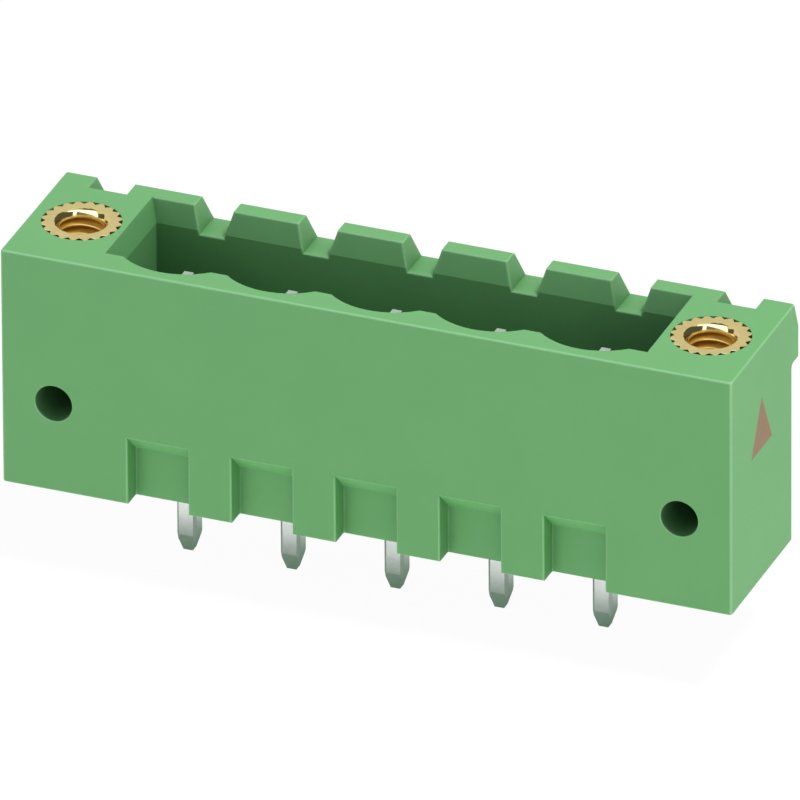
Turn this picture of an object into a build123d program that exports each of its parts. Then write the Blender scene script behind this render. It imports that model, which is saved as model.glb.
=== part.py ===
import os
from math import cos, pi, sin

from build123d import *

# Five-position header of a pluggable terminal block, with a screw flange at each end.
# X runs along the row of pins, Y from the front face towards the latch lip, Z up from the board.
# The origin is in the board plane, on the middle pin's axis. All sizes are in millimetres.

# Row of pins
position_count = 5
pitch = 5.08
pin_side = 0.95
pin_corner_chamfer = 0.13
pin_tip_side = 0.46
pin_taper_length = 0.87
solder_length = 3.93
contact_tip_below_rim = 1.75

# Housing body, measured from the pins' axes
housing_height = 12.0
front_depth = 3.85
back_depth = 3.85
long_edge_radius = 0.15
end_edge_radius = 0.14
foot_edge_radius = 0.08

# Cavity that takes the plug
floor_thickness = 4.0
front_wall = 1.38
back_wall = 0.82
scallop_wall = 0.58
cavity_end_gap = 2.72
lead_in_depth = 1.15
lead_in_flare = 0.30

# Latch lip along the top of the back
lip_top_reach = 0.35
lip_reach = 0.87
lip_slant_height = 1.33
lip_height = 3.0
lip_root_radius = 0.15

# Notches through the back wall, one behind each pin and one in each flange
notch_depth = 1.33
notch_top_width = 1.90
notch_floor_width = 1.18
notch_edge_radius = 0.12
notch_mouth_radius = 0.12
flange_notch_wall = 1.23

# Recesses in the foot of the front face, one in front of each pin
recess_width = 2.96
recess_depth = 1.03
recess_height = 3.45
recess_inner_radius = 0.08
recess_edge_radius = 0.10

# Threaded inserts, and the walls that hold them
insert_tooth_count = 20
insert_tip_radius = 1.86
insert_root_radius = 1.66
insert_crest_width = 0.17
insert_length = 5.0
thread_minor_radius = 1.03
countersink_radius = 1.25
countersink_depth = 0.30
insert_inner_wall = 0.28
insert_outer_wall = 0.60

# Space below each insert for the end of the screw
screw_relief_depth = 0.80

# Blind pilot hole in the front of each flange
pilot_radius = 0.90
pilot_height = 4.51
pilot_depth = 5.5
pilot_edge_radius = 0.06

# Pins and inserts are pressed in, so they touch their seats
press_clearance = 0.0

# How far each cutting shape runs past the surface that it opens
overrun = 1.0

# Two places closer than this are the same place
NEAR = 1e-4

# Places that follow from the sizes above
pin_places = [(i - (position_count - 1) / 2) * pitch for i in range(position_count)]
cavity_half_length = pin_places[-1] + cavity_end_gap
cavity_mouth_half_length = cavity_half_length + lead_in_flare
flange_axis = cavity_mouth_half_length + insert_inner_wall + insert_tip_radius
half_length = flange_axis + insert_tip_radius + insert_outer_wall
pilot_axis = pin_places[-1] + pitch
front_y = -front_depth
back_y = back_depth
cavity_front_y = front_y + front_wall
cavity_back_y = back_y - back_wall
lip_y = back_y + lip_reach
scallop_radius = front_depth - scallop_wall
contact_tip_z = housing_height - contact_tip_below_rim


def prism(outline, plane, start, end):
    """A solid with this outline in the plane, from start to end along the plane's normal."""
    return extrude(plane.offset(start) * outline, end - start)


def along_x(points, half):
    """A solid with this outline of (y, z) points, from -half to half along X."""
    return prism(make_face(Polyline(points, close=True)), Plane.YZ, -half, half)


def along_y(points, y_start, y_end):
    """A solid with this outline of (x, z) points, from y_start to y_end."""
    outline = make_face(Polyline(points, close=True))
    return prism(outline, Plane.XZ, -y_end, -y_start)


def corners_at(outline, u_values, v_values):
    """The outline's corners whose two coordinates are both among the given values."""
    return [
        v
        for v in outline.vertices()
        if any(abs(v.X - u) < NEAR for u in u_values) and any(abs(v.Y - w) < NEAR for w in v_values)
    ]


def body_blank():
    """The outside of the housing: an upright block with the latch lip along the top of its back."""
    lip_bottom_z = housing_height - lip_height
    knee_z = housing_height - lip_slant_height
    outline = make_face(
        Polyline(
            (front_y, 0),
            (back_y, 0),
            (back_y, lip_bottom_z),
            (lip_y, lip_bottom_z),
            (lip_y, knee_z),
            (back_y + lip_top_reach, housing_height),
            (front_y, housing_height),
            close=True,
        )
    )
    root = corners_at(outline, [back_y], [lip_bottom_z])
    outline = fillet(root, lip_root_radius)
    outer = corners_at(outline, [front_y, back_y + lip_top_reach], [housing_height])
    outer += corners_at(outline, [lip_y], [lip_bottom_z, knee_z])
    outline = fillet(outer, long_edge_radius)
    blank = prism(outline, Plane.YZ, -half_length, half_length)
    end_edges = blank.faces().filter_by(Axis.X).edges()
    blank = fillet([e for e in end_edges if e.center().Z > NEAR], end_edge_radius)
    return fillet(blank.edges().group_by(Axis.Z)[0], foot_edge_radius)


def cavity():
    """The space for the plug: a pocket with a flared mouth, scalloped in front of each pin."""
    mouth_z = housing_height - lead_in_depth
    slope = lead_in_flare / lead_in_depth
    over = overrun * slope
    top_z = housing_height + overrun
    half, half_top = cavity_half_length, cavity_mouth_half_length + over
    back, back_top = cavity_back_y, cavity_back_y + lead_in_flare + over
    ends = along_y(
        [
            (-half, floor_thickness),
            (half, floor_thickness),
            (half, mouth_z),
            (half_top, top_z),
            (-half_top, top_z),
            (-half, mouth_z),
        ],
        cavity_front_y,
        back_top,
    )
    sides = along_x(
        [
            (cavity_front_y, floor_thickness),
            (back, floor_thickness),
            (back, mouth_z),
            (back_top, top_z),
            (cavity_front_y, top_z),
        ],
        half_top,
    )
    space = ends & sides
    in_front = along_x(
        [(front_y, 0), (cavity_front_y, 0), (cavity_front_y, top_z), (front_y, top_z)], half_length
    )
    for x in pin_places:
        scallop = Pos(x, 0, 0) * prism(Circle(scallop_radius), Plane.XY, floor_thickness, top_z)
        space += scallop & in_front
    return space


def notch(x, y_start):
    """One notch through the back wall and lip, with its two top edges rounded over."""
    floor_z = housing_height - notch_depth
    top_half, floor_half = notch_top_width / 2, notch_floor_width / 2
    wide = top_half + overrun
    outline = make_face(
        Polyline(
            (-floor_half, floor_z),
            (floor_half, floor_z),
            (top_half, housing_height),
            (wide, housing_height),
            (wide, housing_height + overrun),
            (-wide, housing_height + overrun),
            (-wide, housing_height),
            (-top_half, housing_height),
            close=True,
        )
    )
    edges = corners_at(outline, [-top_half, top_half], [housing_height])
    outline = fillet(edges, notch_edge_radius)
    return Pos(x, 0, 0) * prism(outline, Plane.XZ, -(lip_y + overrun), -y_start)


def recess(x):
    """One recess in the foot of the front face, with rounded upright corners and a sloping top."""
    half = recess_width / 2
    wall_y = front_y + recess_depth
    wide = half + 2 * recess_edge_radius
    outline = make_face(
        Polyline(
            (-wide, front_y - overrun),
            (wide, front_y - overrun),
            (wide, front_y),
            (half, front_y),
            (half, wall_y),
            (-half, wall_y),
            (-half, front_y),
            (-wide, front_y),
            close=True,
        )
    )
    outline = fillet(corners_at(outline, [-half, half], [wall_y]), recess_inner_radius)
    outline = fillet(corners_at(outline, [-half, half], [front_y]), recess_edge_radius)
    upright = prism(outline, Plane.XY, -overrun, recess_height + overrun)
    slope = along_x(
        [
            (front_y - overrun, -overrun),
            (wall_y, -overrun),
            (wall_y, recess_height - recess_depth),
            (front_y - overrun, recess_height + overrun),
        ],
        wide,
    )
    return Pos(x, 0, 0) * (upright & slope)


def pin_section(side):
    """A square with chamfered corners."""
    return chamfer(Rectangle(side, side).vertices(), pin_corner_chamfer)


def insert_seat(x):
    """The blind hole that an insert is pressed into, with room below it for the end of the screw."""
    low = housing_height - insert_length - screw_relief_depth
    seat = prism(Circle(insert_tip_radius + press_clearance), Plane.XY, low, housing_height + overrun)
    return Pos(x, 0, 0) * seat


def pilot_hole(x):
    """A blind hole in the front of a flange."""
    hole = prism(Circle(pilot_radius), Plane.XZ, -(front_y + pilot_depth), -front_y + overrun)
    return Pos(x, 0, pilot_height) * hole


def notch_mouth_edges(solid):
    """The edges where the notches open into the cavity, on its back wall and on the flare above it."""
    mouth_z = housing_height - lead_in_depth
    floor_z = housing_height - notch_depth
    reach = notch_top_width / 2 + notch_edge_radius
    found = []
    for edge in solid.edges():
        ends = [edge.position_at(0), edge.position_at(1)]
        flares = [lead_in_flare * max(0, (p.Z - mouth_z) / lead_in_depth) for p in ends]
        on_wall = all(abs(p.Y - cavity_back_y - flare) < NEAR for p, flare in zip(ends, flares))
        above_floor = all(p.Z > floor_z - NEAR for p in ends)
        along_flare = all(abs(p.Z - mouth_z) < NEAR for p in ends)
        along_rim = all(abs(p.Z - housing_height) < NEAR for p in ends)
        beside_notch = any(abs(edge.center().X - x) < reach for x in pin_places)
        if on_wall and above_floor and beside_notch and not along_flare and not along_rim:
            found.append(edge)
    return found


def housing():
    """The moulded housing, as one solid."""
    solid = body_blank() - cavity()
    for x in pin_places:
        solid -= notch(x, cavity_back_y - overrun)
    solid = fillet(notch_mouth_edges(solid), notch_mouth_radius)
    for x in pin_places:
        solid -= recess(x)
        solid -= Pos(x, 0, 0) * prism(
            pin_section(pin_side + 2 * press_clearance), Plane.XY, -overrun, floor_thickness + overrun
        )
    for x in (-flange_axis, flange_axis):
        solid -= notch(x, insert_tip_radius + flange_notch_wall)
        solid -= insert_seat(x)
    for x in (-pilot_axis, pilot_axis):
        solid -= pilot_hole(x)
    circles = solid.edges().filter_by(GeomType.CIRCLE)
    at_front = [e for e in circles if abs(e.arc_center.Y - front_y) < NEAR]
    return fillet([e for e in at_front if abs(e.radius - pilot_radius) < NEAR], pilot_edge_radius)


def contact_pin(x):
    """A straight square pin with a blunt tapered tip at each end."""
    half, tip_half = pin_side / 2, pin_tip_side / 2
    low, high = -solder_length, contact_tip_z
    side_view = [
        (-tip_half, low),
        (tip_half, low),
        (half, low + pin_taper_length),
        (half, high - pin_taper_length),
        (tip_half, high),
        (-tip_half, high),
        (-half, high - pin_taper_length),
        (-half, low + pin_taper_length),
    ]
    bar = prism(pin_section(pin_side), Plane.XY, low, high)
    return Pos(x, 0, 0) * (bar & along_x(side_view, pin_side) & along_y(side_view, -pin_side, pin_side))


def toothed_outline():
    """The insert's knurled outline: pointed teeth with narrow crests, valleys between them."""
    tooth_angle = 2 * pi / insert_tooth_count
    half_crest = insert_crest_width / 2 / insert_tip_radius
    points = []
    for tooth in range(insert_tooth_count):
        valley = tooth * tooth_angle
        crest = valley + tooth_angle / 2
        for radius, angle in (
            (insert_root_radius, valley),
            (insert_tip_radius, crest - half_crest),
            (insert_tip_radius, crest + half_crest),
        ):
            points.append((radius * cos(angle), radius * sin(angle)))
    return make_face(Polyline(points, close=True))


def threaded_insert(x):
    """A knurled brass insert with a plain hole at the thread's minor size and a countersunk mouth."""
    low = housing_height - insert_length
    bore_top = housing_height - countersink_depth
    solid = prism(toothed_outline(), Plane.XY, low, housing_height)
    solid -= prism(Circle(thread_minor_radius), Plane.XY, low - overrun, housing_height + overrun)
    mouth = Cone(
        thread_minor_radius,
        countersink_radius,
        countersink_depth,
        align=(Align.CENTER, Align.CENTER, Align.MIN),
    )
    return Pos(x, 0, 0) * (solid - Pos(0, 0, bore_top) * mouth)


def main():
    os.makedirs("parts", exist_ok=True)
    pieces = {"housing": housing()}
    for number, x in enumerate(pin_places, start=1):
        pieces[f"contact_pin_{number}"] = contact_pin(x)
    pieces["threaded_insert_left"] = threaded_insert(-flange_axis)
    pieces["threaded_insert_right"] = threaded_insert(flange_axis)
    for name, piece in pieces.items():
        export_step(piece, f"parts/{name}.step")


main()
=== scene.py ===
"""Looks of the terminal block header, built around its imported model.

Lengths are in metres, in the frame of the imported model: X along the row of pins, Y from the plain
front face towards the latch lip, Z up from the board. MM turns millimetres into metres.
"""

import math

import bmesh
import bpy
from mathutils import Matrix, Vector


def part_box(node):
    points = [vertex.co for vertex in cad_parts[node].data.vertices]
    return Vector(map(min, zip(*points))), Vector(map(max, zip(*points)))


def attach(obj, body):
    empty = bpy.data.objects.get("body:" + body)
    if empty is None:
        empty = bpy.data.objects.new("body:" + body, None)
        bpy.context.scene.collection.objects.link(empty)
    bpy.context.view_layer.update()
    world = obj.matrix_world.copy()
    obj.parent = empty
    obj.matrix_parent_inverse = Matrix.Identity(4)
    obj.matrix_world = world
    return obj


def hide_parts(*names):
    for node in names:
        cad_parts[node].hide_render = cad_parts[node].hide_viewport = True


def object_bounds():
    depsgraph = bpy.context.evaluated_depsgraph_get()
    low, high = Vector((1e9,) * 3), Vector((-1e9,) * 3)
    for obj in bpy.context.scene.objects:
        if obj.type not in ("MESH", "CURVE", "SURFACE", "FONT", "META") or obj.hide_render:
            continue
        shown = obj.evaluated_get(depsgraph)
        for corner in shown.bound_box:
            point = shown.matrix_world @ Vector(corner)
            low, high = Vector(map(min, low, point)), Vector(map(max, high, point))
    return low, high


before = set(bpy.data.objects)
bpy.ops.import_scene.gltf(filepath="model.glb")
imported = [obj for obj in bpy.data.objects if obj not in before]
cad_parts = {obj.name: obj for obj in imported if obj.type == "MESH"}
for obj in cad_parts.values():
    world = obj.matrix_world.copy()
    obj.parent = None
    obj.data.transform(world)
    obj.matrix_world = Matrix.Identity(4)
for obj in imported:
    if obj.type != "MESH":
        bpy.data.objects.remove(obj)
cad_low, cad_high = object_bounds()

MM = 0.001

# Camera: the angles and the distance that the photograph's edges give, and the point it looks at
VIEW_AZIMUTH = 21.5761
VIEW_ELEVATION = 28.6441
VIEW_ROLL = -0.3328
VIEW_DISTANCE = 1.512818
VIEW_POINT = (0.1675 * MM, 0.0513 * MM, 5.7166 * MM)
LENS = 1499.44
SENSOR = 36.0
CLIP_RANGE = (0.1, 10.0)

WHITE = (1.0, 1.0, 1.0, 1.0)

# Light: an even dome, two soft lamps, one high on the right and one low in front, and a pale floor
DOME_STRENGTH = 0.45
BACKGROUND_STRENGTH = 1.0
LAMP_DISTANCE = 0.7
LAMPS = {
    "top_lamp": {"towards": (0.38, 0.0, 0.925), "size": (0.10, 0.10), "power": 2.85},
    "front_lamp": {"towards": (0.05, -1.0, 0.0), "size": (0.60, 0.05), "power": 0.89},
}
FLOOR_HALF_WIDTH = 1.2
FLOOR_COLOR = (0.95, 0.95, 0.95, 1.0)
FLOOR_GLOW_SEEN = 0.93
FLOOR_GLOW_STRENGTH = 1.02

# Painted shade for reflections: they show the floor glowing dark and greenish under the object, and white
# farther out
FLOOR_SHADE_COLOR = (0.13, 0.21, 0.15, 1.0)
FLOOR_SHADE_REACH = 16.0 * MM
FLOOR_SHADE_FULL = 0.26
FLOOR_SHADE_NONE = 0.62
FLOOR_SHADE_BEND = 2.3
FLOOR_SHADE_SAMPLES = 12

# Light and dark panels round the set, which only reflections show. The light ones are bluish, so
# that brass mirrors them nearly white. Each has its two azimuths, and its lowest and highest
# elevation at the first azimuth and at the second, in degrees.
PANEL_DISTANCE = 0.5
PANEL_STEPS = 24
LIGHT_PANEL = (2.6, 2.7, 3.9, 1.0)
DIM_PANEL = (0.28, 0.28, 0.28, 1.0)
DARK_PANEL = (0.13, 0.13, 0.13, 1.0)
PANELS = {
    "light_overhead": {"color": LIGHT_PANEL, "azimuths": (-60, 39), "first": (50, 50.5), "second": (50, 66)},
    "light_corner": {"color": LIGHT_PANEL, "azimuths": (39, 100), "first": (50, 63), "second": (50, 56)},
    "dark_overhead": {"color": DARK_PANEL, "azimuths": (-80, 39), "first": (50.5, 72), "second": (66, 78)},
    "light_left": {"color": LIGHT_PANEL, "azimuths": (-60, 39), "first": (12, 50), "second": (49, 50)},
    "light_strip": {"color": LIGHT_PANEL, "azimuths": (46.5, 63.5), "first": (20, 50), "second": (20, 50)},
    "dim_front": {"color": DIM_PANEL, "azimuths": (-60, 46.5), "first": (-6, 8), "second": (-6, 48)},
    "dark_right": {"color": DARK_PANEL, "azimuths": (63.5, 178), "first": (-6, 49), "second": (-6, 49)},
    "dark_left": {"color": DARK_PANEL, "azimuths": (-97, -62), "first": (3, 35), "second": (3, 35)},
}

# Colours, as the shader takes them
HOUSING_GREEN = (0.172, 0.475, 0.172, 1.0)
HOUSING_GREEN_DEEP = (0.164, 0.460, 0.166, 1.0)
# Painted highlight along the housing's outer edges
HOUSING_GREEN_PAINTED_HIGHLIGHT = (0.36, 0.70, 0.36, 1.0)
MARK_RUST = (0.335, 0.155, 0.095, 1.0)
TIN = (0.90, 0.92, 0.90, 1.0)
TIN_DULL = (0.86, 0.88, 0.86, 1.0)
# Painted shade with a painted green reflection: the tin of the tips' tops, down in the cavity, above this
# height
TIN_TIP_SHADE = (0.42, 0.50, 0.44, 1.0)
TIP_SHADE_Z = 10.22 * MM
BRASS = (0.665, 0.555, 0.235, 1.0)
BRASS_DULL = (0.62, 0.515, 0.205, 1.0)
# Painted reflection in the thread: amber where the brass mirrors itself, with painted highlights on the
# crests
THREAD_CREST_HIGHLIGHT = (0.97, 0.69, 0.18, 1.0)
THREAD_REFLECTED_AMBER = (0.72, 0.41, 0.032, 1.0)
THREAD_REFLECTED_AMBER_DULL = (0.53, 0.285, 0.018, 1.0)

# Grain of each surface: features per metre, octaves, and how strong the fine ones are
PLASTIC_MOTTLE = (260.0, 3.0, 0.55)
PLASTIC_GRAIN = (9000.0, 2.0, 0.6)
TIN_STRETCH = (14000.0, 14000.0, 260.0)
TIN_LINES = (1.0, 3.0, 0.6)
TIN_CLOUDS = (1800.0, 2.0, 0.5)
BRASS_RINGS = {"Scale": 3200.0, "Distortion": 0.4, "Detail": 1.0}
BRASS_CLOUDS = (1500.0, 3.0, 0.55)
THREAD_CLOUDS = (2500.0, 3.0, 0.55)
NOISE_LOW = 0.3
NOISE_HIGH = 0.7

# Roughness of each surface, from the smoothest to the roughest spot
PLASTIC_ROUGHNESS = (0.50, 0.58)
TIN_ROUGHNESS = (0.07, 0.11)
TURNED_ROUGHNESS = (0.08, 0.14)
FACED_ROUGHNESS = (0.38, 0.46)
THREAD_ROUGHNESS = (0.28, 0.36)

# Bump of each surface: its strength, and its depth
PLASTIC_BUMP = (0.25, 0.003 * MM)
TIN_BUMP = (0.08, 0.002 * MM)
BRASS_BUMP = (0.06, 0.001 * MM)

# Gloss of the plastic, and how metallic the thread is, where it mirrors itself
PLASTIC_IOR = 1.5
PLASTIC_SPECULAR = 0.35
THREAD_METALLIC = 0.5

# Painted highlights: lighter green lines along the housing's outer edges, where they catch the light. They
# fade as the normal nears an axis, as the solid behind it gets thicker, and in the hollows, and they are
# wider on upright edges.
EDGE_REACH = 0.25 * MM
EDGE_SHARE = 0.78
EDGE_FULL = 0.80
EDGE_NONE = 0.988
EDGE_WIDENING = 0.14
UPRIGHT_LIMIT = 0.2
EDGE_SHARP = 0.84
EDGE_BLUNT = 0.96
EDGE_HIDDEN = 0.70
EDGE_OPEN = 0.95
EDGE_HIDDEN_SHARE = 0.35

# Painted shade: darker green in the housing's hollows
OPENNESS_SAMPLES = 6
HOLLOW_REACH = 7.0 * MM
HOLLOW_DEPTH = 0.56
HOLLOW_DARKEST = 0.47

# Painted shade and light in the recesses in the foot of the front: darker green in their corners only, and
# lighter sloping tops, for the light from the floor below
CORNER_REACH = 0.6 * MM
CORNER_CLOSED = 0.5
CORNER_OPEN = 0.95
CORNER_DEPTH = 0.80
RECESS_BACK_Y = -2.75 * MM
RECESS_TOP_Z = 3.6 * MM
RECESS_SLOPE = math.radians(45.0)
RECESS_SLOPE_PAINTED_LIFT = 1.14
NORMAL_TOLERANCE = 0.1

# Printed mark on the right end, a plain triangle: the middle of its foot as (y, z), and its size
MARK_FACE_X = 17.7 * MM
MARK_FOOT = (-0.05 * MM, 6.7 * MM)
MARK_HALF_WIDTH = 1.35 * MM
MARK_HEIGHT = 2.7 * MM
MARK_EDGE_BLUR = 0.04 * MM
MARK_WEAR = (0.80, 0.97)

# Threaded inserts, in millimetres from the insert's axis and its top face. The angles of a tooth
# and of its flank are in radians, round the axis.
INSERT_TEETH = 20
INSERT_TIP_RADIUS = 1.86
INSERT_ROOT_RADIUS = 1.66
INSERT_CREST_WIDTH = 0.17
INSERT_EDGE_BREAK = 0.01
TOOTH_ANGLE = 2 * math.pi / INSERT_TEETH
FLANK_ANGLE = TOOTH_ANGLE / 2 - INSERT_CREST_WIDTH / 2 / INSERT_TIP_RADIUS
ANGLE_TOLERANCE = 1e-9
THREAD_PITCH = 0.45
THREAD_MINOR_RADIUS = 1.03
THREAD_MAJOR_RADIUS = 1.25
THREAD_ROOT_HALF_WIDTH = 0.028
THREAD_CREST_HALF_WIDTH = 0.025
THREAD_CREST_SHINE = 0.06
THREAD_CREST_START = -0.92
THREAD_FADE_START = 0.34
THREAD_FADE_LENGTH = 0.15
THREAD_COLOR_START = 0.25
THREAD_ROWS_PER_PITCH = 20
THREAD_SPARE_ROWS = 2

# The insert's curved countersink: how far its wall leans, in degrees, at its foot and at its edge
MOUTH_STEEP = 16.0
MOUTH_SHALLOW = 52.0
MOUTH_EDGE_RADIUS = 0.04

# Edges of the insert that turn by more degrees than this stay sharp, and heights in the bore that
# agree to this many digits share a vertex
SHARP_ANGLE = 12.0
PLACE_DIGITS = 6

# Places of the three kinds of brass in an insert's list of materials
TURNED = 0
THREADED = 1
FACED = 2


def put(tree, socket, value):
    """Links a node's output to the socket, or sets a plain value on it."""
    if isinstance(value, bpy.types.NodeSocket):
        tree.links.new(value, socket)
    else:
        socket.default_value = value


def add_node(tree, kind, inputs=(), **settings):
    """A new node with these settings, and with its inputs linked or set."""
    node = tree.nodes.new(kind)
    for name, value in settings.items():
        setattr(node, name, value)
    for name, value in dict(inputs).items():
        put(tree, node.inputs[name], value)
    return node


def math_node(tree, operation, first, second=0.0):
    """The output of one math node."""
    return add_node(tree, "ShaderNodeMath", {0: first, 1: second}, operation=operation).outputs[0]


def noise(tree, coordinates, scale, detail, roughness):
    """The grey output of one noise texture. The scale is in features per metre."""
    inputs = {"Vector": coordinates, "Scale": scale, "Detail": detail, "Roughness": roughness}
    return add_node(tree, "ShaderNodeTexNoise", inputs).outputs["Fac"]


def spread(tree, value, start, end, low, high):
    """Spreads the range from start to end over the range from low to high, and stops at both."""
    inputs = {"Value": value, "From Min": start, "From Max": end, "To Min": low, "To Max": high}
    return add_node(tree, "ShaderNodeMapRange", inputs).outputs["Result"]


def between(tree, value, low, high):
    """Spreads a noise value between two numbers."""
    return spread(tree, value, NOISE_LOW, NOISE_HIGH, low, high)


def blend_colors(tree, share, first, second):
    """The colour between two colours, at this share of the second."""
    node = add_node(tree, "ShaderNodeMix", data_type="RGBA")
    put(tree, node.inputs["Factor"], share)
    colors = [s for s in node.inputs if s.type == "RGBA"]
    put(tree, colors[0], first)
    put(tree, colors[1], second)
    return next(s for s in node.outputs if s.type == "RGBA")


def stretched(tree, coordinates, scale):
    """Coordinates with each axis scaled."""
    inputs = {"Vector": coordinates, "Scale": scale}
    return add_node(tree, "ShaderNodeMapping", inputs).outputs["Vector"]


def new_material(name):
    """A node material, its tree, its shader and the object's own coordinates in it."""
    material = bpy.data.materials.new(name)
    material.use_nodes = True
    tree = material.node_tree
    shader = next(n for n in tree.nodes if n.type == "BSDF_PRINCIPLED")
    coordinates = add_node(tree, "ShaderNodeTexCoord").outputs["Object"]
    return material, tree, shader, coordinates


def empty_tree(owner):
    """The node tree of a material or a world, with nothing in it."""
    owner.use_nodes = True
    owner.node_tree.nodes.clear()
    return owner.node_tree


def bump(tree, height, strength, distance):
    """A normal with this height pressed into it. The distance is in metres."""
    inputs = {"Height": height, "Strength": strength, "Distance": distance}
    return add_node(tree, "ShaderNodeBump", inputs).outputs["Normal"]


def mark_mask(tree, coordinates):
    """White inside the printed mark on the right end face, black elsewhere."""
    x, y, z = add_node(tree, "ShaderNodeSeparateXYZ", {0: coordinates}).outputs
    side = math_node(tree, "ABSOLUTE", math_node(tree, "SUBTRACT", y, MARK_FOOT[0]))
    up = math_node(tree, "SUBTRACT", z, MARK_FOOT[1])
    slope = MARK_HALF_WIDTH / MARK_HEIGHT
    reach = math_node(tree, "SUBTRACT", MARK_HALF_WIDTH, math_node(tree, "MULTIPLY", up, slope))
    shape = math_node(tree, "MINIMUM", math_node(tree, "SUBTRACT", reach, side), up)
    inside = spread(tree, shape, 0.0, MARK_EDGE_BLUR, 0.0, 1.0)
    on_face = math_node(tree, "GREATER_THAN", x, MARK_FACE_X)
    return math_node(tree, "MULTIPLY", inside, on_face)


def openness(tree, distance, inside=False):
    """How open the surface is within this distance: 1 on a flat face, and less in a corner.

    Measured inside the solid, it is less at an outer edge.
    """
    node = add_node(
        tree,
        "ShaderNodeAmbientOcclusion",
        {"Distance": distance},
        samples=OPENNESS_SAMPLES,
        inside=inside,
        only_local=True,
    )
    return node.outputs["AO"]


def painted_highlight_mask(tree):
    """Where highlights are painted: white along the rounded outer edges, which catch the light, and black
    elsewhere.
    """
    normal = add_node(tree, "ShaderNodeTexCoord").outputs["Normal"]
    along = add_node(tree, "ShaderNodeVectorMath", {0: normal}, operation="ABSOLUTE").outputs[0]
    x, y, z = add_node(tree, "ShaderNodeSeparateXYZ", {0: along}).outputs
    largest = math_node(tree, "MAXIMUM", math_node(tree, "MAXIMUM", x, y), z)
    upright = math_node(tree, "LESS_THAN", z, UPRIGHT_LIMIT)
    full = math_node(tree, "ADD", EDGE_FULL, math_node(tree, "MULTIPLY", upright, EDGE_WIDENING))
    slanted = spread(tree, largest, full, EDGE_NONE, EDGE_SHARE, 0.0)
    solid_behind = openness(tree, EDGE_REACH, inside=True)
    convex = spread(tree, solid_behind, EDGE_SHARP, EDGE_BLUNT, 1.0, 0.0)
    around = openness(tree, HOLLOW_REACH)
    in_the_open = spread(tree, around, EDGE_HIDDEN, EDGE_OPEN, EDGE_HIDDEN_SHARE, 1.0)
    return math_node(tree, "MULTIPLY", math_node(tree, "MULTIPLY", slanted, convex), in_the_open)


def hollow_shade(tree):
    """Painted shade: how light the green is in the hollows, 1 on an open face and less deep inside."""
    shade = math_node(tree, "POWER", openness(tree, HOLLOW_REACH), HOLLOW_DEPTH)
    return math_node(tree, "MAXIMUM", shade, HOLLOW_DARKEST)


def recess_shade(tree):
    """Painted shade and light in the recesses: less in the corners, and more on the sloping tops."""
    around = openness(tree, CORNER_REACH)
    shade = spread(tree, around, CORNER_CLOSED, CORNER_OPEN, CORNER_DEPTH, 1.0)
    normal = add_node(tree, "ShaderNodeTexCoord").outputs["Normal"]
    upwards = add_node(tree, "ShaderNodeSeparateXYZ", {0: normal}).outputs[2]
    tilt = math_node(tree, "ABSOLUTE", math_node(tree, "ADD", upwards, math.sin(RECESS_SLOPE)))
    on_slope = math_node(tree, "LESS_THAN", tilt, NORMAL_TOLERANCE)
    return math_node(tree, "MAXIMUM", shade, math_node(tree, "MULTIPLY", on_slope, RECESS_SLOPE_PAINTED_LIFT))


def shaded(tree, coordinates, color):
    """The colour with painted shade: that of the hollows, or in the front recesses a shade of their own."""
    y, z = add_node(tree, "ShaderNodeSeparateXYZ", {0: coordinates}).outputs[1:]
    in_front = math_node(tree, "LESS_THAN", y, RECESS_BACK_Y)
    in_recess = math_node(tree, "MULTIPLY", in_front, math_node(tree, "LESS_THAN", z, RECESS_TOP_Z))
    elsewhere = math_node(tree, "SUBTRACT", 1.0, in_recess)
    hollows = math_node(tree, "MULTIPLY", hollow_shade(tree), elsewhere)
    recesses = math_node(tree, "MULTIPLY", recess_shade(tree), in_recess)
    node = add_node(tree, "ShaderNodeVectorMath", {0: color}, operation="SCALE")
    put(tree, node.inputs["Scale"], math_node(tree, "ADD", hollows, recesses))
    return node.outputs[0]


def housing_material():
    """Green moulded satin plastic, faintly mottled, finely grained, printed, with painted edge highlights
    and painted shade.
    """
    material, tree, shader, coordinates = new_material("moulded_green_plastic")
    mottle = noise(tree, coordinates, *PLASTIC_MOTTLE)
    grain = noise(tree, coordinates, *PLASTIC_GRAIN)
    green = blend_colors(tree, between(tree, mottle, 0.0, 1.0), HOUSING_GREEN, HOUSING_GREEN_DEEP)
    mark = mark_mask(tree, coordinates)
    worn = math_node(tree, "MULTIPLY", mark, between(tree, grain, *MARK_WEAR))
    # Painted highlights along the outer edges
    green = blend_colors(tree, painted_highlight_mask(tree), green, HOUSING_GREEN_PAINTED_HIGHLIGHT)
    color = blend_colors(tree, worn, green, MARK_RUST)
    # Painted shade in the hollows and recesses
    put(tree, shader.inputs["Base Color"], shaded(tree, coordinates, color))
    put(tree, shader.inputs["Roughness"], between(tree, grain, *PLASTIC_ROUGHNESS))
    put(tree, shader.inputs["IOR"], PLASTIC_IOR)
    put(tree, shader.inputs["Specular IOR Level"], PLASTIC_SPECULAR)
    put(tree, shader.inputs["Normal"], bump(tree, grain, *PLASTIC_BUMP))
    return material


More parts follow.
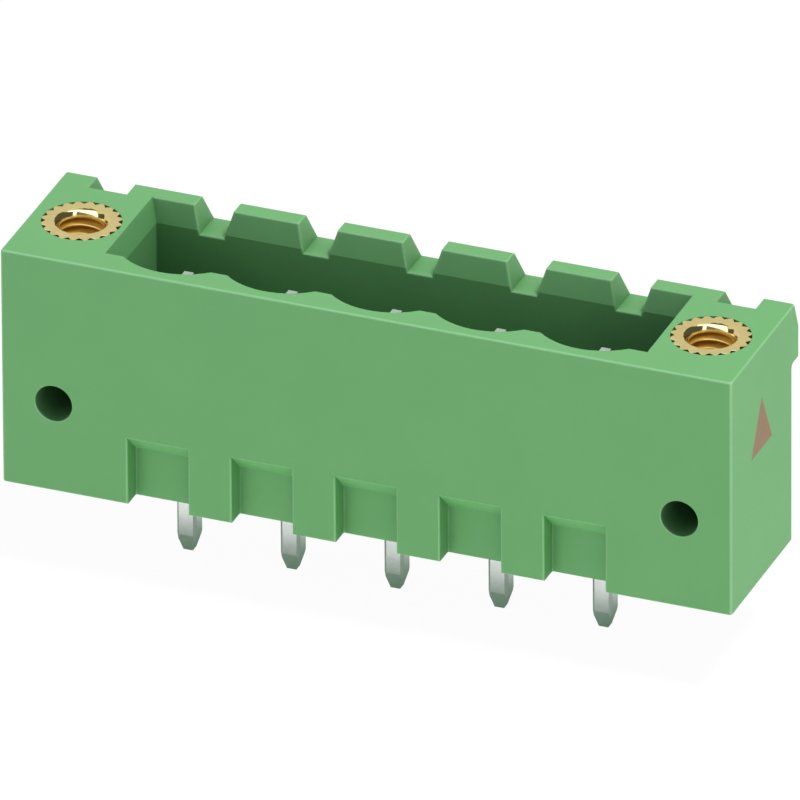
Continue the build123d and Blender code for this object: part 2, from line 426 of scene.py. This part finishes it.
def tin_material():
    """Bright tin plating with faint lines drawn along the pin, and painted shade, darker and greenish, at
    the top.
    """
    material, tree, shader, coordinates = new_material("tin_plating")
    lines = noise(tree, stretched(tree, coordinates, TIN_STRETCH), *TIN_LINES)
    clouds = noise(tree, coordinates, *TIN_CLOUDS)
    color = blend_colors(tree, between(tree, clouds, 0.0, 1.0), TIN, TIN_DULL)
    height = add_node(tree, "ShaderNodeSeparateXYZ", {0: coordinates}).outputs[2]
    # Painted shade and green reflection on the tops of the tips
    tip_shade = math_node(tree, "GREATER_THAN", height, TIP_SHADE_Z)
    put(tree, shader.inputs["Base Color"], blend_colors(tree, tip_shade, color, TIN_TIP_SHADE))
    put(tree, shader.inputs["Metallic"], 1.0)
    put(tree, shader.inputs["Roughness"], between(tree, lines, *TIN_ROUGHNESS))
    put(tree, shader.inputs["Normal"], bump(tree, lines, *TIN_BUMP))
    return material


def brass_material(name, roughness):
    """Turned brass: faint rings about the insert's axis, and slight clouding of the metal."""
    material, tree, shader, coordinates = new_material(name)
    inputs = {"Vector": coordinates, **BRASS_RINGS}
    rings = add_node(tree, "ShaderNodeTexWave", inputs, wave_type="RINGS", rings_direction="Z")
    clouds = noise(tree, coordinates, *BRASS_CLOUDS)
    color = blend_colors(tree, between(tree, clouds, 0.0, 1.0), BRASS, BRASS_DULL)
    put(tree, shader.inputs["Base Color"], color)
    put(tree, shader.inputs["Metallic"], 1.0)
    put(tree, shader.inputs["Roughness"], between(tree, clouds, *roughness))
    put(tree, shader.inputs["Normal"], bump(tree, rings.outputs["Fac"], *BRASS_BUMP))
    return material


def thread_material():
    """The same brass down in the thread, with painted reflection, amber where it mirrors itself, and painted
    crest highlights.
    """
    material, tree, shader, coordinates = new_material("thread_brass")
    clouds = noise(tree, coordinates, *THREAD_CLOUDS)
    across = {0: coordinates, 1: (1.0, 1.0, 0.0)}
    flat = add_node(tree, "ShaderNodeVectorMath", across, operation="MULTIPLY").outputs[0]
    radius = add_node(tree, "ShaderNodeVectorMath", {0: flat}, operation="LENGTH").outputs["Value"]
    crest_end = (THREAD_MINOR_RADIUS + THREAD_CREST_SHINE) * MM
    # Painted highlight along the thread's crests
    crest_highlight = spread(tree, radius, THREAD_MINOR_RADIUS * MM, crest_end, 1.0, 0.0)
    color = blend_colors(tree, between(tree, clouds, 0.0, 1.0), THREAD_REFLECTED_AMBER, THREAD_REFLECTED_AMBER_DULL)
    color = blend_colors(tree, crest_highlight, color, THREAD_CREST_HIGHLIGHT)
    put(tree, shader.inputs["Base Color"], color)
    put(tree, shader.inputs["Metallic"], THREAD_METALLIC)
    put(tree, shader.inputs["Roughness"], between(tree, clouds, *THREAD_ROUGHNESS))
    return material


def paint(node_object, material):
    """Gives every material slot of a carried-over node this material."""
    if not node_object.material_slots:
        node_object.data.materials.append(material)
    for slot in node_object.material_slots:
        slot.material = material


def column_angles():
    """Angles of the insert's columns of vertices, with one at each corner of each tooth."""
    rising = (0.0, FLANK_ANGLE / 2, FLANK_ANGLE, TOOTH_ANGLE / 2)
    falling = (TOOTH_ANGLE - FLANK_ANGLE, TOOTH_ANGLE - FLANK_ANGLE / 2)
    return [number * TOOTH_ANGLE + step for number in range(INSERT_TEETH) for step in rising + falling]


def toothed_radius(angle):
    """Radius of the knurled outline at this angle."""
    from_valley = min(angle % TOOTH_ANGLE, TOOTH_ANGLE - angle % TOOTH_ANGLE)
    if from_valley >= FLANK_ANGLE - ANGLE_TOLERANCE:
        return INSERT_TIP_RADIUS
    valley = Vector((INSERT_ROOT_RADIUS, 0.0))
    corner = INSERT_TIP_RADIUS * Vector((math.cos(FLANK_ANGLE), math.sin(FLANK_ANGLE)))
    along = corner - valley
    ray = Vector((math.cos(from_valley), math.sin(from_valley)))
    return (valley.x * along.y - valley.y * along.x) / (ray.x * along.y - ray.y * along.x)


def mouth_profile():
    """The radius and the depth of the arc that the countersink's wall follows."""
    shallow = math.radians(MOUTH_SHALLOW)
    steep = math.radians(MOUTH_STEEP)
    arc = (THREAD_MAJOR_RADIUS - THREAD_MINOR_RADIUS) / (math.cos(steep) - math.cos(shallow))
    depth = arc * (math.sin(shallow) - math.sin(steep))
    return arc, depth


def mouth_radius(depth):
    """Radius of the countersink's curved wall at this depth below the top face."""
    arc, full_depth = mouth_profile()
    shallow = math.radians(MOUTH_SHALLOW)
    edge_depth = MOUTH_EDGE_RADIUS * (1 - math.sin(shallow))
    if depth < edge_depth:
        rise = max(0.0, 1 - depth / MOUTH_EDGE_RADIUS)
        rounding = math.cos(shallow) - math.sqrt(1 - rise * rise)
        return THREAD_MAJOR_RADIUS + MOUTH_EDGE_RADIUS * rounding
    below = depth - edge_depth
    if below >= full_depth:
        return THREAD_MINOR_RADIUS
    sine = math.sin(shallow) - below / arc
    return THREAD_MAJOR_RADIUS - arc * (math.sqrt(1 - sine * sine) - math.cos(shallow))


def thread_radius(angle, z):
    """Radius of the thread at this angle and height, with the top face at zero."""
    turns = (z - THREAD_CREST_START) / THREAD_PITCH - angle / (2 * math.pi)
    from_crest = abs(turns - round(turns)) * THREAD_PITCH
    flank = THREAD_PITCH / 2 - THREAD_CREST_HALF_WIDTH - THREAD_ROOT_HALF_WIDTH
    share = min(1.0, max(0.0, (from_crest - THREAD_CREST_HALF_WIDTH) / flank))
    fade = min(1.0, max(0.0, (-z - THREAD_FADE_START) / THREAD_FADE_LENGTH))
    return THREAD_MINOR_RADIUS + fade * share * (THREAD_MAJOR_RADIUS - THREAD_MINOR_RADIUS)


def insert_mesh(length):
    """The insert's mesh: knurled outside, flat ends, and a threaded bore with a rounded mouth."""
    angles = column_angles()
    count = len(angles)
    mesh = bmesh.new()

    def ring(z, radii):
        places = [(r * math.cos(a), r * math.sin(a), z) for a, r in zip(angles, radii)]
        return [mesh.verts.new(Vector(p) * MM) for p in places]

    def skin(first, second, material_index=TURNED):
        for i in range(count):
            j = (i + 1) % count
            face = mesh.faces.new((first[i], first[j], second[j], second[i]))
            face.material_index = material_index

    outline = [toothed_radius(a) for a in angles]
    inner = [r - INSERT_EDGE_BREAK for r in outline]
    outside = [
        ring(0.0, inner),
        ring(-INSERT_EDGE_BREAK, outline),
        ring(-length + INSERT_EDGE_BREAK, outline),
        ring(-length, inner),
    ]
    for upper, lower in zip(outside, outside[1:]):
        skin(upper, lower)

    step = THREAD_PITCH / THREAD_ROWS_PER_PITCH
    rows = math.ceil(length / step) + THREAD_ROWS_PER_PITCH + THREAD_SPARE_ROWS
    placed = {}

    def bore_vertex(column, row):
        """The vertex at this column and row. Rows climb with the thread, and stop at both end faces."""
        turn, column = divmod(column, count)
        angle = angles[column]
        climb = THREAD_PITCH * angle / (2 * math.pi)
        height = (row + turn * THREAD_ROWS_PER_PITCH) * step - length - THREAD_PITCH + climb
        z = min(0.0, max(-length, height))
        key = (column, round(z, PLACE_DIGITS))
        if key not in placed:
            radius = max(thread_radius(angle, z), mouth_radius(-z), mouth_radius(length + z))
            place = Vector((radius * math.cos(angle), radius * math.sin(angle), z))
            placed[key] = mesh.verts.new(place * MM)
        return placed[key]

    for column in range(count):
        for row in range(rows):
            corners = [
                bore_vertex(column, row),
                bore_vertex(column, row + 1),
                bore_vertex(column + 1, row + 1),
                bore_vertex(column + 1, row),
            ]
            distinct = list(dict.fromkeys(corners))
            if len(distinct) > 2:
                face = mesh.faces.new(distinct)
                depth = -face.calc_center_median().z / MM
                in_thread = THREAD_COLOR_START < depth < length - THREAD_COLOR_START
                face.material_index = THREADED if in_thread else TURNED
    top = [placed[(i, 0.0)] for i in range(count)]
    bottom = [placed[(i, round(-length, PLACE_DIGITS))] for i in range(count)]
    skin(outside[0], top, FACED)
    skin(outside[-1], bottom, FACED)
    bmesh.ops.recalc_face_normals(mesh, faces=mesh.faces)
    data = bpy.data.meshes.new("insert")
    mesh.to_mesh(data)
    mesh.free()
    data.shade_smooth()
    data.set_sharp_from_angle(angle=math.radians(SHARP_ANGLE))
    return data


def add_insert(node, materials):
    """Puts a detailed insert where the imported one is, and hides that one."""
    low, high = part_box(node)
    centre = (low + high) / 2
    name = node.replace("threaded_insert", "brass_insert")
    piece = bpy.data.objects.new(name, insert_mesh((high.z - low.z) / MM))
    bpy.context.scene.collection.objects.link(piece)
    piece.location = (centre.x, centre.y, high.z)
    for material in materials:
        piece.data.materials.append(material)
    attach(piece, "root")
    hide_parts(node)


def direction(azimuth, elevation):
    """The unit vector from the object. Azimuth 0 is the front, 90 the right end."""
    turn = math.radians(azimuth)
    rise = math.radians(elevation)
    level = math.cos(rise)
    return Vector((math.sin(turn) * level, -math.cos(turn) * level, math.sin(rise)))


def add_stage_object(name, data):
    """Links an object that belongs to the studio and not to the part."""
    thing = bpy.data.objects.new(name, data)
    bpy.context.scene.collection.objects.link(thing)
    return thing


def add_floor(height):
    """A pale floor: nearly white to the camera, with the object's soft shadow, and with painted shade in
    reflections.
    """
    mesh = bpy.data.meshes.new("floor")
    quarters = [(-1, -1), (1, -1), (1, 1), (-1, 1)]
    corners = [(x * FLOOR_HALF_WIDTH, y * FLOOR_HALF_WIDTH, height) for x, y in quarters]
    mesh.from_pydata(corners, [], [(0, 1, 2, 3)])
    material = bpy.data.materials.new("pale_floor")
    tree = empty_tree(material)
    rays = add_node(tree, "ShaderNodeLightPath").outputs
    reach = {"Distance": FLOOR_SHADE_REACH}
    around = add_node(tree, "ShaderNodeAmbientOcclusion", reach, samples=FLOOR_SHADE_SAMPLES)
    clear = spread(tree, around.outputs["AO"], FLOOR_SHADE_FULL, FLOOR_SHADE_NONE, 0.0, 1.0)
    shade = math_node(tree, "SUBTRACT", 1.0, math_node(tree, "POWER", clear, FLOOR_SHADE_BEND))
    shade = math_node(tree, "MULTIPLY", shade, rays["Is Glossy Ray"])
    color = blend_colors(tree, shade, WHITE, FLOOR_SHADE_COLOR)
    glowing = {"Color": color, "Strength": FLOOR_GLOW_STRENGTH}
    glow = add_node(tree, "ShaderNodeEmission", glowing).outputs[0]
    diffuse = add_node(tree, "ShaderNodeBsdfDiffuse", {"Color": FLOOR_COLOR}).outputs[0]
    seen = math_node(tree, "MULTIPLY", rays["Is Camera Ray"], FLOOR_GLOW_SEEN)
    share = math_node(tree, "MAXIMUM", seen, rays["Is Glossy Ray"])
    lit = add_node(tree, "ShaderNodeMixShader", {0: share, 1: diffuse, 2: glow}).outputs[0]
    nothing = add_node(tree, "ShaderNodeBsdfTransparent").outputs[0]
    below = add_node(tree, "ShaderNodeNewGeometry").outputs["Backfacing"]
    one_sided = add_node(tree, "ShaderNodeMixShader", {0: below, 1: lit, 2: nothing}).outputs[0]
    add_node(tree, "ShaderNodeOutputMaterial", {"Surface": one_sided})
    mesh.materials.append(material)
    add_stage_object("floor", mesh)


def panel_material(color):
    """A plain glow of this colour."""
    material = bpy.data.materials.new("panel")
    tree = empty_tree(material)
    glow = add_node(tree, "ShaderNodeEmission", {"Color": color}).outputs[0]
    add_node(tree, "ShaderNodeOutputMaterial", {"Surface": glow})
    return material


def panel_mesh(name, panel):
    """The curved sheet between a panel's azimuths and elevations, as a grid of small faces."""
    start, end = panel["azimuths"]
    points = []
    for i in range(PANEL_STEPS + 1):
        share = i / PANEL_STEPS
        azimuth = start + (end - start) * share
        low, high = (a + (b - a) * share for a, b in zip(panel["first"], panel["second"]))
        for j in range(PANEL_STEPS + 1):
            elevation = low + (high - low) * j / PANEL_STEPS
            points.append(direction(azimuth, elevation) * PANEL_DISTANCE)
    faces = []
    row = PANEL_STEPS + 1
    for i in range(PANEL_STEPS):
        for j in range(PANEL_STEPS):
            corner = i * row + j
            faces.append((corner, corner + 1, corner + row + 1, corner + row))
    mesh = bpy.data.meshes.new(name)
    mesh.from_pydata(points, [], faces)
    mesh.materials.append(panel_material(panel["color"]))
    return mesh


def add_panels():
    """Panels round the set, seen only in reflections, so that metal has something to mirror."""
    for name, panel in PANELS.items():
        thing = add_stage_object(name, panel_mesh(name, panel))
        thing.visible_camera = False
        thing.visible_diffuse = False
        thing.visible_transmission = False
        thing.visible_volume_scatter = False
        thing.visible_shadow = False


def add_world():
    """An even dome of light. The camera and reflections see it as a white background."""
    world = bpy.data.worlds.new("studio")
    bpy.context.scene.world = world
    tree = empty_tree(world)
    lighting = {"Color": WHITE, "Strength": DOME_STRENGTH}
    dome = add_node(tree, "ShaderNodeBackground", lighting).outputs[0]
    backdrop = {"Color": WHITE, "Strength": BACKGROUND_STRENGTH}
    seen = add_node(tree, "ShaderNodeBackground", backdrop).outputs[0]
    rays = add_node(tree, "ShaderNodeLightPath").outputs
    shown = math_node(tree, "MAXIMUM", rays["Is Camera Ray"], rays["Is Glossy Ray"])
    shown = math_node(tree, "MAXIMUM", shown, rays["Is Transmission Ray"])
    both = add_node(tree, "ShaderNodeMixShader", {0: shown, 1: dome, 2: seen}).outputs[0]
    add_node(tree, "ShaderNodeOutputWorld", {"Surface": both})


def add_lamps():
    """The soft lamps. Reflections show the panels in their place."""
    for name, lamp in LAMPS.items():
        data = bpy.data.lights.new(name, "AREA")
        data.shape = "RECTANGLE"
        data.size, data.size_y = lamp["size"]
        data.energy = lamp["power"]
        thing = bpy.data.objects.new(name, data)
        bpy.context.scene.collection.objects.link(thing)
        towards = Vector(lamp["towards"]).normalized()
        thing.location = towards * LAMP_DISTANCE
        thing.rotation_euler = (-towards).to_track_quat("-Z", "Y").to_euler()
        thing.visible_glossy = False


def add_camera():
    """The camera at the photograph's angle, far away behind a long lens."""
    data = bpy.data.cameras.new("camera")
    data.lens = LENS
    data.sensor_width = SENSOR
    data.clip_start, data.clip_end = CLIP_RANGE
    camera = bpy.data.objects.new("camera", data)
    bpy.context.scene.collection.objects.link(camera)
    azimuth = math.radians(VIEW_AZIMUTH)
    roll = math.radians(VIEW_ROLL)
    back = direction(VIEW_AZIMUTH, VIEW_ELEVATION)
    level = Vector((math.cos(azimuth), math.sin(azimuth), 0.0))
    upright = back.cross(level)
    right = level * math.cos(roll) + upright * math.sin(roll)
    up = upright * math.cos(roll) - level * math.sin(roll)
    place = Vector(VIEW_POINT) + back * VIEW_DISTANCE
    turned = Matrix((right, up, back)).transposed().to_4x4()
    camera.matrix_world = Matrix.Translation(place) @ turned
    bpy.context.scene.camera = camera


green_plastic = housing_material()
tin = tin_material()
brass = brass_material("turned_brass", TURNED_ROUGHNESS)
faced_brass = brass_material("faced_brass", FACED_ROUGHNESS)
thread_brass = thread_material()
for name, node_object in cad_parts.items():
    if name == "housing":
        paint(node_object, green_plastic)
    elif name.startswith("contact_pin"):
        paint(node_object, tin)
    else:
        paint(node_object, brass)
        add_insert(name, [brass, thread_brass, faced_brass])

add_floor(cad_low.z)
add_panels()
add_world()
add_lamps()
add_camera()
bpy.context.scene.view_settings.view_transform = "Standard"
